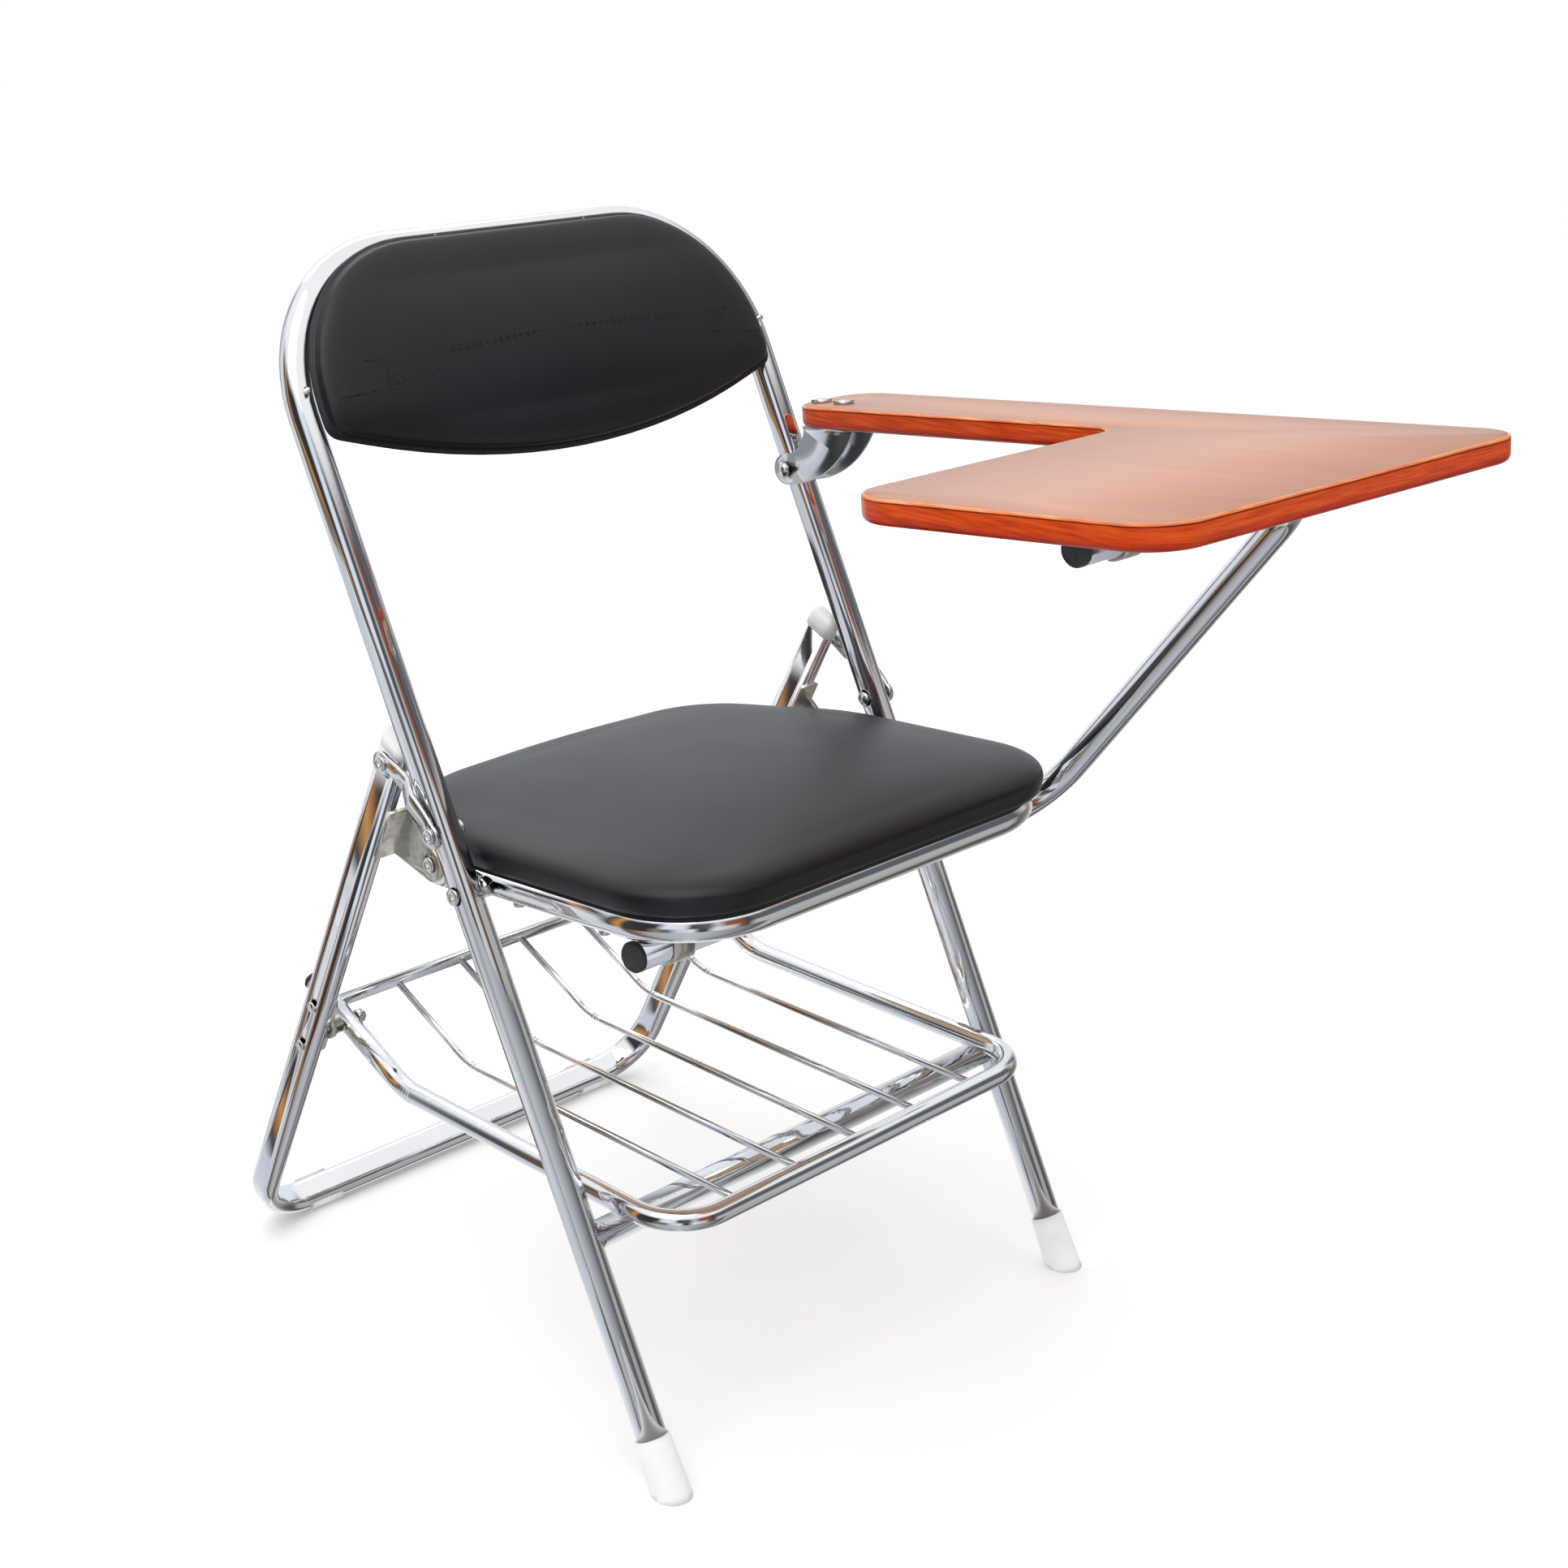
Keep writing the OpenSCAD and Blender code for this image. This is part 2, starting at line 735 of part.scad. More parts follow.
// Angle brackets between the rear legs and the seat
plate_t = 3.5;
plate_x = seat_out + 0.5;
plate_w = 26;
pivot_t = (rear_pivot - [0, rear_y, 0]) * rear_up;
pivot_n = (rear_pivot - [0, rear_y, 0]) * rear_ahead;
module seat_brackets() {
    flange_h = 44;
    color(zinc) whole() both_sides() difference() {
        on_rear() {
            translate([plate_x, -rear_d / 2 - plate_t, pivot_t - flange_h / 2])
                cube([rear_half + 4 - plate_x, plate_t, flange_h]);
            translate([plate_x, 0, pivot_t])
                rotate([90, 0, 90])
                    linear_extrude(height = plate_t) {
                        translate([-pivot_n, 0])
                            circle(d = plate_w);
                        polygon([[-pivot_n, -plate_w / 2], [-rear_d / 2, -flange_h / 2],
                            [-rear_d / 2, flange_h / 2], [-pivot_n, plate_w / 2]]);
                    }
        }
        x_rod(rear_pivot, 0, big, rivet_d);
    }
}
module seat_bracket_rivets() {
    color(chrome) whole() both_sides() union() {
        rivet_x(rear_pivot, tab_x - 1, plate_x + plate_t, rivet_d, rivet_head_d, rivet_head_t);
        x_rod(rear_pivot, tab_x - 2.6, tab_x - 0.6, rivet_d + 3);
    }
}

// Brackets and bolts that carry the book basket
bracket_t = 3;
bolt_d = 6;
rear_inner = rear_half - rear_w / 2;
basket_out = basket_half + basket_d / 2;
module bracket_rivet_spots() {
    both_sides()
        for (s = [-1, 1])
            translate([0, 0, rear_bolt_t + s * bracket_rivet_up])
                children();
}
module basket_brackets() {
    color(zinc) whole() both_sides() difference() {
        union() {
            on_rear()
                translate([rear_inner - bracket_t, 0, rear_bolt_t])
                    rotate([90, 0, 90])
                        linear_extrude(height = bracket_t) {
                            square([20, 2 * bracket_rivet_up], center = true);
                            for (s = [-1, 1])
                                translate([0, s * bracket_rivet_up])
                                    circle(d = 20);
                            translate([-rear_bolt_n, 0])
                                circle(d = 18);
                        }
            x_rod(basket_pivot, basket_out + link_gap, rear_inner - bracket_t + 0.5, 14);
        }
        x_rod(basket_pivot, 0, big, bolt_d);
        on_rear()
            bracket_rivet_spots()
                x_rod([0, 0, 0], rear_inner - 10, rear_inner + 1, 5);
    }
}
module bracket_rivets() {
    x0 = rear_inner - bracket_t;
    x1 = rear_half + rear_w / 2;
    color(chrome) whole() on_rear() bracket_rivet_spots() union() {
        x_rod([0, 0, 0], x0 - 1.2, x1 + 1.2, 5);
        x_rod([0, 0, 0], x0 - 1.5, x0, 9);
        x_rod([0, 0, 0], x1, x1 + 1.5, 9);
    }
}
module basket_bolts() {
    x0 = basket_half - basket_d / 2;
    color(chrome) whole() both_sides() union() {
        x_rod(basket_pivot, x0 - 8, rear_inner - 0.01, bolt_d);
    }
}
module basket_nuts() {
    x0 = basket_half - basket_d / 2;
    color(chrome) whole() both_sides() difference() {
        x_rod(basket_pivot, x0 - 5.3, x0 - 0.4, 11);
        x_rod(basket_pivot, x0 - 9, x0 + 1, bolt_d);
    }
}

// ---- support tube body ----
support_bend_r = 46;
low_end_x = -182;
high_end_x = -12;
support_dir = unit(support_high - support_low);
support_up = cross([1, 0, 0], support_dir);
support_run = norm(support_high - support_low);
support_pts = [[low_end_x, 0, 0], [support_x, 0, 0], [support_x, support_run, 0],
    [high_end_x, support_run, 0]];
support_rad = [0, support_bend_r, support_bend_r, 0];
plug_t = 5;

// Round plug in a tube end: flange outside, stem inside
module tube_plug(d, wall) {
    difference() {
        union() {
            cylinder(h = plug_t * 0.6, d = d);
            translate([0, 0, plug_t * 0.6])
                cylinder(h = plug_t * 0.4, d1 = d, d2 = d - 3);
            translate([0, 0, -12])
                cylinder(h = 12.01, d = d - 2 * wall);
        }
        translate([0, 0, -13])
            cylinder(h = 11, d = d - 2 * wall - 4);
    }
}
// Places things drawn in the plane of the support tube: X across, Y up the tube
module on_support() {
    frame_at(support_low, [1, 0, 0], support_dir, support_up)
        children();
}
module support_tube() {
    color(chrome) whole() on_support()
        bent_tube(support_pts, support_rad, support_d, tube_wall, [0, 0, 1]);
}
module support_plugs() {
    color(black) whole() on_support() {
        translate(support_pts[0])
            rotate([0, -90, 0])
                tube_plug(support_d, tube_wall);
        translate(support_pts[3])
            rotate([0, -90, 0])
                tube_plug(support_d, tube_wall);
    }
}

// ---- writing tablet body ----
edge_w = 2.2;
edge_foot_w = 5;
edge_foot_h = 2.5;
edge_top_r = 1.8;
edge_low_r = 5;
board_back = -33;
tongue_back = 292;
tongue_in = 191;
// Outline at distance g inside the edge; X across, Y behind the main leg feet
function tablet_pts(g) = [[tablet_in + g, -tablet_front + 13 + g],
    [tablet_out - g, -tablet_front - 2 + g],
    [tablet_out - g, tongue_back - g],
    [tongue_in + g, tongue_back - g],
    [tongue_in + g, board_back - g],
    [tablet_in + g, board_back - 2 - g]];
function tablet_rad(g) = [36 - g, 36 - g, 28 - g, 28 - g, 24 + g, 38 - g];
tablet_steps = 12;
edge_steps = 6;

// Slab of the tablet at distance g inside the edge, between two heights
module tablet_slab(g, z0, z1) {
    on_tablet()
        translate([0, 0, z0])
            linear_extrude(height = z1 - z0)
                polygon(outline(tablet_pts(g), tablet_rad(g), tablet_steps));
}
module tablet_board() {
    color(laminate) whole() difference() {
        union() {
            tablet_slab(edge_foot_w, 0, edge_foot_h + 0.5);
            tablet_slab(edge_w, edge_foot_h, tablet_t);
        }
        tablet_bolt_spots()
            translate([0, 0, -1])
                cylinder(h = tablet_t + 2, d = bolt_d);
        tablet_screw_spots()
            translate([0, 0, -1])
                cylinder(h = 13, d = 3.5);
    }
}
// Section of the edge strip: distance inside the edge, height above the underside
function edge_section() = concat(
    [[edge_w, tablet_t], [edge_w, edge_foot_h], [edge_foot_w, edge_foot_h]],
    [for (k = [0 : edge_steps]) let (a = 90 * k / edge_steps)
        [edge_low_r * (1 - sin(a)), edge_low_r * (1 - cos(a))]],
    [for (k = [0 : edge_steps / 2]) let (a = 90 * k / (edge_steps / 2))
        [edge_top_r * (1 - cos(a)), tablet_t - edge_top_r * (1 - sin(a))]]);
// Strip round the board with a flat side, a slim round on top and a larger one below
module tablet_edge() {
    section = edge_section();
    n = len(section);
    ring = len(outline(tablet_pts(0), tablet_rad(0), tablet_steps));
    points = [for (q = section)
        each [for (p = outline(tablet_pts(q[0]), tablet_rad(q[0]), tablet_steps))
            [p[0], p[1], q[1]]]];
    faces = [for (k = [0 : n - 1], i = [0 : ring - 1])
        let (j = (i + 1) % ring, m = (k + 1) % n)
        [k * ring + i, m * ring + i, m * ring + j, k * ring + j]];
    color(edge_wood) whole() on_tablet()
        polyhedron(points = points, faces = faces);
}

// Spots on the tablet, drawn from its underside upwards
hinge_off = tablet_hinge - [0, 0, tablet_z];
high_off = support_high - [0, 0, tablet_z];
function to_tablet(v) = [0, v[1] * cos(tablet_tilt) - v[2] * sin(tablet_tilt),
    v[1] * sin(tablet_tilt) + v[2] * cos(tablet_tilt) + tablet_t];
hinge_local = to_tablet(hinge_off);
high_local = to_tablet(high_off);
ear_t = 2.5;
ear_gap = 0.5;
ear_in = tube_r + ear_gap;
ear_eye_r = 12;
plate_back = 288;
plate_front = 234;
bolt_y = [279, 255];
head_side = 11.5;
head_t = 2.5;

module tablet_bolt_spots() {
    on_tablet()
        for (y = bolt_y)
            translate([main_half, y, 0])
                children();
}
module tablet_bolts() {
    color(chrome) whole() tablet_bolt_spots() union() {
        translate([0, 0, -ear_t - 6])
            cylinder(h = ear_t + 6 + tablet_t, d = bolt_d);
        translate([-head_side / 2, -head_side / 2, tablet_t])
            cube([head_side, head_side, head_t]);
    }
}
module tablet_nuts() {
    color(chrome) whole() tablet_bolt_spots() difference() {
        translate([0, 0, -ear_t - 4.5])
            cylinder(h = 4.5, d = 11);
        translate([0, 0, -ear_t - 5])
            cylinder(h = 6, d = bolt_d);
    }
}
// Curved ear that hangs from the bracket plate to the hinge eye
ear_low = ear_eye_r - hinge_local[2];
ear_reach = hinge_local[1] - plate_front;
ear_out_r = (ear_reach * ear_reach + ear_low * ear_low) / (2 * ear_low);
module ear_outline() {
    difference() {
        intersection() {
            translate([hinge_local[1], ear_out_r - ear_low])
                circle(r = ear_out_r);
            translate([plate_front, -ear_low])
                square([ear_reach, ear_low]);
        }
        translate([hinge_local[1], 0])
            circle(r = -hinge_local[2] - ear_eye_r);
    }
    translate([hinge_local[1], hinge_local[2]])
        circle(r = ear_eye_r);
}
// Channel bracket that straddles the main leg under the tongue
module tablet_bracket() {
    color(chrome) whole() on_tablet() difference() {
        union() {
            translate([main_half - ear_in - ear_t, plate_front, -ear_t])
                cube([2 * (ear_in + ear_t), plate_back - plate_front, ear_t]);
            for (x = [main_half - ear_in - ear_t, main_half + ear_in])
                translate([x, 0, 0])
                    rotate([90, 0, 90])
                        linear_extrude(height = ear_t)
                            ear_outline();
        }
        translate([0, hinge_local[1], hinge_local[2]])
            rotate([0, 90, 0])
                cylinder(h = big, d = rivet_d);
        for (y = bolt_y)
            translate([main_half, y, -ear_t - 1])
                cylinder(h = ear_t + 2, d = bolt_d);
    }
}
// The hinge bolt and nut sit in the ears and stop short of the main leg
module hinge_bolt() {
    x = main_half + ear_in;
    color(chrome) whole() union() {
        x_rod(tablet_hinge, x, x + ear_t + 0.01, rivet_d);
        x_rod(tablet_hinge, x + ear_t, x + ear_t + 3, 13);
    }
}
module hinge_nut() {
    x = main_half - ear_in;
    color(chrome) whole() union() {
        x_rod(tablet_hinge, x, x - ear_t - 0.01, rivet_d);
        x_rod(tablet_hinge, x - ear_t, x - ear_t - 5, 12);
    }
}
// Saddle clips that hold the tablet on the upper run of the support tube
tablet_clip_x = [30, 165];
module tablet_clip_spots() {
    on_tablet()
        for (x = tablet_clip_x)
            translate([x, high_local[1], high_local[2]])
                children();
}
module tablet_screw_spots() {
    tablet_clip_spots()
        for (s = [-1, 1])
            translate([0, s * (clip_out_r + clip_foot / 2 + 1), -high_local[2]])
                children();
}
module tablet_clips() {
    color(zinc) whole() difference() {
        tablet_clip_spots()
            translate([-clip_w / 2, 0, 0])
                rotate([90, 0, 90])
                    linear_extrude(height = clip_w)
                        clip_profile(-high_local[2]);
        tablet_screw_spots()
            translate([0, 0, -6])
                cylinder(h = 12, d = 3.5);
    }
}
module tablet_clip_screws() {
    color(chrome) whole() tablet_screw_spots() union() {
        translate([0, 0, -clip_t - 2])
            cylinder(h = 2, d = 7);
        translate([0, 0, -clip_t])
            cylinder(h = clip_t + 12, d = 3.5);
    }
}

// ---- book basket body ----
basket_z = 187;
basket_front_y = 21;
basket_bend_y = 327;
basket_end = [0, 438, 241];
basket_corner_r = 40;
basket_bend_r = 60;
basket_split_y = 160;
loop_pts = [[-basket_half, basket_split_y, 0], [-basket_half, basket_front_y, 0],
    [basket_half, basket_front_y, 0], [basket_half, basket_split_y, 0]];
loop_rad = [0, basket_corner_r, basket_corner_r, 0];
basket_rise = unit(basket_end - [0, basket_bend_y, basket_z]);
bend_steps = 8;
bend_turn = acos(basket_rise[1]);
bend_back = basket_bend_r * tan(bend_turn / 2);
// Points of the bend between the flat floor and the rising rear part
function bend_points(x) = [for (k = [0 : bend_steps])
    let (a = bend_turn * k / bend_steps)
    [x, basket_bend_y - bend_back + basket_bend_r * sin(a),
        basket_z + basket_bend_r * (1 - cos(a))]];
rod_d = 10;
rod_at = [0, basket_bend_y, basket_z] + 99 * basket_rise;
wire_count = 5;

// One side rail, its ends longer by e
module side_rail(d, e) {
    ball_run(concat([[basket_half, basket_split_y - e, basket_z]],
        bend_points(basket_half), [[basket_half, 0, 0] + basket_end + e * basket_rise]), d);
}
// The rim: a front loop and two side rails with their rear bends
module basket_frame() {
    color(chrome) whole() {
        translate([0, 0, basket_z])
            bent_tube(loop_pts, loop_rad, basket_d, tube_wall, [0, 0, 1]);
        both_sides() difference() {
            side_rail(basket_d, 0);
            side_rail(basket_d - 2 * tube_wall, 1);
            x_rod(basket_pivot, 0, big / 2, bolt_d + 2 * run_gap);
        }
    }
}
module basket_rear_rod() {
    color(chrome) whole() difference() {
        x_rod(rod_at, -basket_half, basket_half, rod_d);
        both_sides()
            frame_at([basket_half, basket_bend_y, basket_z], [1, 0, 0],
                    cross(basket_rise, [1, 0, 0]), basket_rise)
                cylinder(h = 160, d = basket_d);
    }
}
module basket_wires() {
    color(chrome) whole() difference() {
        for (i = [0 : wire_count - 1]) {
            x = (i - (wire_count - 1) / 2) * wire_pitch;
            ball_run(concat([[x, basket_front_y, basket_z]], bend_points(x),
                [[x, 0, 0] + rod_at]), wire_d);
        }
        x_rod(rod_at, -basket_half, basket_half, rod_d);
        x_rod([0, basket_front_y, basket_z], -basket_half, basket_half, basket_d);
    }
}
module basket_plugs() {
    color(black) whole() both_sides()
        frame_at([basket_half, basket_end[1], basket_end[2]], [1, 0, 0],
                cross(basket_rise, [1, 0, 0]), basket_rise)
            tube_plug(basket_d, tube_wall);
}

main_frame();
front_cross_tube();
foot_caps();
backrest_board();
backrest_pad();
backrest_screws();
seat_pivot_rivets();
pivot_spacers();
link_pivot_rivets();
seat_frame();
seat_board();
seat_pad();
seat_screws();
support_clips();
clip_screws();
rear_frame();
rear_caps();
floor_glides();
seat_brackets();
seat_bracket_rivets();
basket_brackets();
bracket_rivets();
basket_bolts();
basket_nuts();
link_left();
link_right();
link_end_rivets();
support_tube();
support_plugs();
tablet_board();
tablet_edge();
tablet_bracket();
tablet_bolts();
tablet_nuts();
hinge_bolt();
hinge_nut();
tablet_clips();
tablet_clip_screws();
basket_frame();
basket_rear_rod();
basket_wires();
basket_plugs();
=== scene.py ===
import json
import math

import bpy
import numpy as np
from mathutils import Matrix, Vector


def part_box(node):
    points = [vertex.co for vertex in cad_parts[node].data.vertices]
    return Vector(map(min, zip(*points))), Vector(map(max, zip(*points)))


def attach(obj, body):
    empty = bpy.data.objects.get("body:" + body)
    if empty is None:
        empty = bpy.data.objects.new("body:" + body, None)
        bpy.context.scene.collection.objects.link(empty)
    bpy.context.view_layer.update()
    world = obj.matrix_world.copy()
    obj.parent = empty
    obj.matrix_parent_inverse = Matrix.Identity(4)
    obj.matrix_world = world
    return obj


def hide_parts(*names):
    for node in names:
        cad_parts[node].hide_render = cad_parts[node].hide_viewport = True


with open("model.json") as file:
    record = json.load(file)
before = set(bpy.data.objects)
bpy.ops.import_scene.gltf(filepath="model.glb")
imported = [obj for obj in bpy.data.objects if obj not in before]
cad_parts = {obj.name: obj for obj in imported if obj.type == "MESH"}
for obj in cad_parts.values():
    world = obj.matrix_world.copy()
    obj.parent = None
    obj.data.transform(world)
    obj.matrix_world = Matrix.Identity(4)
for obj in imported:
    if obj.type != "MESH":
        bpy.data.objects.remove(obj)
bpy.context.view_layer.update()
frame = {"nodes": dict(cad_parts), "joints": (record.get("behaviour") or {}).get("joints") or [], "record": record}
NODES = frame["nodes"]
JOINTS = {j["name"]: j for j in frame["joints"]}
MM = 0.001

# ---- driving sizes, in metres and degrees, as the design states them ----
MAIN_LEAN = 26.6
CROSS_S = 187 * MM
SEAT_TILT = 4.0
TABLET_TILT = 5.2
TABLET_T = 17 * MM
TABLET_TOP = 688.5 * MM


def middle(node):
    low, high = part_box(node)
    return (low + high) / 2


# The point on the floor between the main leg axes
ORIGIN = Vector((middle("front_cross_tube").x,
                 middle("front_cross_tube").y - CROSS_S * math.sin(math.radians(MAIN_LEAN)),
                 0.0))


# ---- places to build in: each is a matrix from local to the row frame ----
def place(origin, tilt_degrees):
    return Matrix.Translation(origin) @ Matrix.Rotation(math.radians(tilt_degrees), 4, "X")


SEAT_PLANE = place(Vector(JOINTS["seat_fold"]["pos_m"]), -SEAT_TILT)
MAIN_PLANE = place(ORIGIN, -MAIN_LEAN)
TABLET_PLANE = (place(ORIGIN + Vector((0, 0, TABLET_TOP)), -TABLET_TILT)
                @ Matrix.Translation((0, 0, -TABLET_T)))
# The back rest is drawn as X across, Y up the legs, Z ahead of the legs
BACK_PLANE = MAIN_PLANE @ Matrix.Rotation(math.radians(90), 4, "X")


# ---- outlines ----
def unit(v):
    return v.normalized()


def rounded(points, radii, steps):
    """An anticlockwise outline with true round corners, as a list of 2-D points."""
    out = []
    count = len(points)
    for i, (p, r) in enumerate(zip(points, radii)):
        d_in = unit(p - points[i - 1])
        d_out = unit(points[(i + 1) % count] - p)
        cross = d_in.x * d_out.y - d_in.y * d_out.x
        turn = math.atan2(cross, d_in.dot(d_out))
        if r <= 0:
            out.append(p)
            continue
        back = r * math.tan(abs(turn) / 2)
        start = p - d_in * back
        side = Vector((-d_in.y, d_in.x)) * (1 if turn > 0 else -1)
        centre = start + side * r
        for k in range(steps + 1):
            a = turn * k / steps
            v = start - centre
            out.append(centre + Vector((v.x * math.cos(a) - v.y * math.sin(a),
                                        v.x * math.sin(a) + v.y * math.cos(a))))
    return out


def even(points, count):
    """The same closed outline with evenly spaced points."""
    loop = points + [points[0]]
    run = [0.0]
    for a, b in zip(loop, loop[1:]):
        run.append(run[-1] + (b - a).length)
    out = []
    j = 0
    for k in range(count):
        want = run[-1] * k / count
        while run[j + 1] < want:
            j += 1
        t = (want - run[j]) / max(run[j + 1] - run[j], 1e-9)
        out.append(loop[j].lerp(loop[j + 1], t))
    return out


def vec2(*pairs):
    return [Vector((x * MM, y * MM)) for x, y in pairs]


# ---- meshes ----
def rings_mesh(name, rings, close_first, close_last, matrix):
    """A lofted mesh through rings of equal length; end rings close with a centre point."""
    verts = [v for ring in rings for v in ring]
    n = len(rings[0])
    faces = []
    for k in range(len(rings) - 1):
        for i in range(n):
            j = (i + 1) % n
            faces.append((k * n + i, k * n + j, (k + 1) * n + j, (k + 1) * n + i))
    for close, k, flip in ((close_first, 0, True), (close_last, len(rings) - 1, False)):
        if close:
            centre = sum((Vector(v) for v in rings[k]), Vector()) / n
            verts.append(centre)
            c = len(verts) - 1
            for i in range(n):
                j = (i + 1) % n
                a, b = k * n + i, k * n + j
                faces.append((b, a, c) if flip else (a, b, c))
    mesh = bpy.data.meshes.new(name)
    mesh.from_pydata([tuple(matrix @ Vector(v)) for v in verts], [], faces)
    mesh.update()
    obj = bpy.data.objects.new(name, mesh)
    bpy.context.scene.collection.objects.link(obj)
    smooth(obj)
    return obj


def smooth(obj, angle=None):
    mesh = obj.data
    for poly in mesh.polygons:
        poly.use_smooth = True
    if angle is not None:
        mesh.set_sharp_from_angle(angle=math.radians(angle))


# ---- materials ----
class Mat:
    """A small helper that builds a principled material node by node."""

    def __init__(self, name, color, rough, metal=0.0):
        self.mat = bpy.data.materials.new(name)
        self.mat.use_nodes = True
        self.tree = self.mat.node_tree
        self.bsdf = self.tree.nodes["Principled BSDF"]
        self.bsdf.inputs["Base Color"].default_value = (*color, 1)
        self.bsdf.inputs["Roughness"].default_value = rough
        self.bsdf.inputs["Metallic"].default_value = metal
        self.coord = self.tree.nodes.new("ShaderNodeTexCoord")

    def link(self, a, b):
        self.tree.links.new(a, b)

    def node(self, kind, **values):
        n = self.tree.nodes.new(kind)
        for key, value in values.items():
            if key in n.inputs:
                n.inputs[key].default_value = value
            else:
                setattr(n, key, value)
        return n

    def mapping(self, scale=(1, 1, 1), rotation=(0, 0, 0)):
        m = self.node("ShaderNodeMapping")
        m.inputs["Scale"].default_value = scale
        m.inputs["Rotation"].default_value = rotation
        self.link(self.coord.outputs["Object"], m.inputs["Vector"])
        return m.outputs["Vector"]

    def noise(self, vector, scale, detail=4.0, rough=0.5):
        n = self.node("ShaderNodeTexNoise", Scale=scale, Detail=detail, Roughness=rough)
        self.link(vector, n.inputs["Vector"])
        return n.outputs["Fac"]

    def ramp(self, fac, stops):
        r = self.node("ShaderNodeValToRGB")
        while len(r.color_ramp.elements) < len(stops):
            r.color_ramp.elements.new(0.5)
        for e, (pos, col) in zip(r.color_ramp.elements, stops):
            e.position = pos
            e.color = (*col, 1) if len(col) == 3 else (col[0], col[0], col[0], 1)
        self.link(fac, r.inputs["Fac"])
        return r.outputs["Color"]

    def span(self, fac, low, high):
        m = self.node("ShaderNodeMapRange")
        m.inputs["To Min"].default_value = low
        m.inputs["To Max"].default_value = high
        self.link(fac, m.inputs["Value"])
        return m.outputs["Result"]

    def bump(self, height, strength, distance, after=None):
        b = self.node("ShaderNodeBump", Strength=strength, Distance=distance)
        self.link(height, b.inputs["Height"])
        if after is not None:
            self.link(after, b.inputs["Normal"])
        return b.outputs["Normal"]

    def use(self, socket, output):
        self.link(output, self.bsdf.inputs[socket])


def chrome(name, color, rough):
    m = Mat(name, color, rough, 1.0)
    v = m.mapping()
    m.use("Roughness", m.span(m.noise(v, 22, 3), rough * 0.5, rough * 1.5))
    m.use("Base Color", m.ramp(m.noise(v, 9, 2),
                               [(0.35, tuple(c * 0.95 for c in color)), (0.65, color)]))
    peel = m.bump(m.noise(v, 240, 2), 0.05, 0.0003)
    m.use("Normal", m.bump(m.noise(v, 42, 2), 0.05, 0.0006, peel))
    return m.mat


def leather():
    m = Mat("black_vinyl", (0.008, 0.009, 0.011), 0.42)
    m.bsdf.inputs["Specular IOR Level"].default_value = 0.42
    v = m.mapping()
    cell = m.node("ShaderNodeTexVoronoi", Scale=900.0, feature="SMOOTH_F1", Smoothness=0.6)
    m.link(v, cell.inputs["Vector"])
    grain = m.bump(cell.outputs["Distance"], 0.3, 0.00016)
    fold = m.bump(m.noise(v, 48, 5, 0.6), 0.1, 0.0008, grain)
    m.use("Normal", fold)
    m.use("Roughness", m.span(m.noise(v, 14, 4), 0.36, 0.46))
    m.use("Base Color", m.ramp(m.noise(v, 6, 3),
                               [(0.3, (0.004, 0.0048, 0.0070)), (0.7, (0.007, 0.0082, 0.0115))]))
    return m.mat


def plastic(name, color, rough):
    m = Mat(name, color, rough)
    v = m.mapping()
    m.use("Base Color", m.ramp(m.noise(v, 30, 4),
                               [(0.35, tuple(c * 0.93 for c in color)), (0.65, color)]))
    m.use("Roughness", m.span(m.noise(v, 80, 3), rough * 0.85, rough * 1.15))
    m.use("Normal", m.bump(m.noise(v, 900, 2), 0.12, 0.0002))
    m.bsdf.inputs["Subsurface Weight"].default_value = 0.05
    return m.mat


def zinc():
    m = Mat("zinc_plate", (0.72, 0.69, 0.6), 0.34, 1.0)
    v = m.mapping()
    cell = m.node("ShaderNodeTexVoronoi", Scale=190.0)
    m.link(v, cell.inputs["Vector"])
    m.use("Base Color", m.ramp(cell.outputs["Distance"],
                               [(0.1, (0.62, 0.59, 0.5)), (0.7, (0.78, 0.75, 0.66))]))
    m.use("Roughness", m.span(m.noise(v, 120, 3), 0.25, 0.45))
    m.use("Normal", m.bump(m.noise(v, 260, 3), 0.15, 0.0003))
    return m.mat


def rubber():
    m = Mat("black_rubber", (0.018, 0.018, 0.02), 0.55)
    v = m.mapping()
    m.use("Roughness", m.span(m.noise(v, 90, 3), 0.48, 0.66))
    m.use("Normal", m.bump(m.noise(v, 700, 3), 0.2, 0.0002))
    m.use("Base Color", m.ramp(m.noise(v, 40, 3),
                               [(0.3, (0.014, 0.014, 0.016)), (0.7, (0.026, 0.026, 0.028))]))
    return m.mat


def past(m, axis, limit, both=False):
    """1 beyond a distance in metres along an axis of the seat's plane, or on both sides."""
    normal = SEAT_PLANE.to_3x3() @ Vector(axis)
    dot = m.node("ShaderNodeVectorMath", operation="DOT_PRODUCT")
    dot.inputs[1].default_value = normal
    m.link(m.coord.outputs["Object"], dot.inputs[0])
    less = m.node("ShaderNodeMath", operation="SUBTRACT")
    m.link(dot.outputs["Value"], less.inputs[0])
    less.inputs[1].default_value = SEAT_PLANE.translation.dot(normal)
    value = less.outputs[0]
    if both:
        size = m.node("ShaderNodeMath", operation="ABSOLUTE")
        m.link(value, size.inputs[0])
        value = size.outputs[0]
    over = m.node("ShaderNodeMath", operation="GREATER_THAN")
    m.link(value, over.inputs[0])
    over.inputs[1].default_value = limit
    return over.outputs[0]


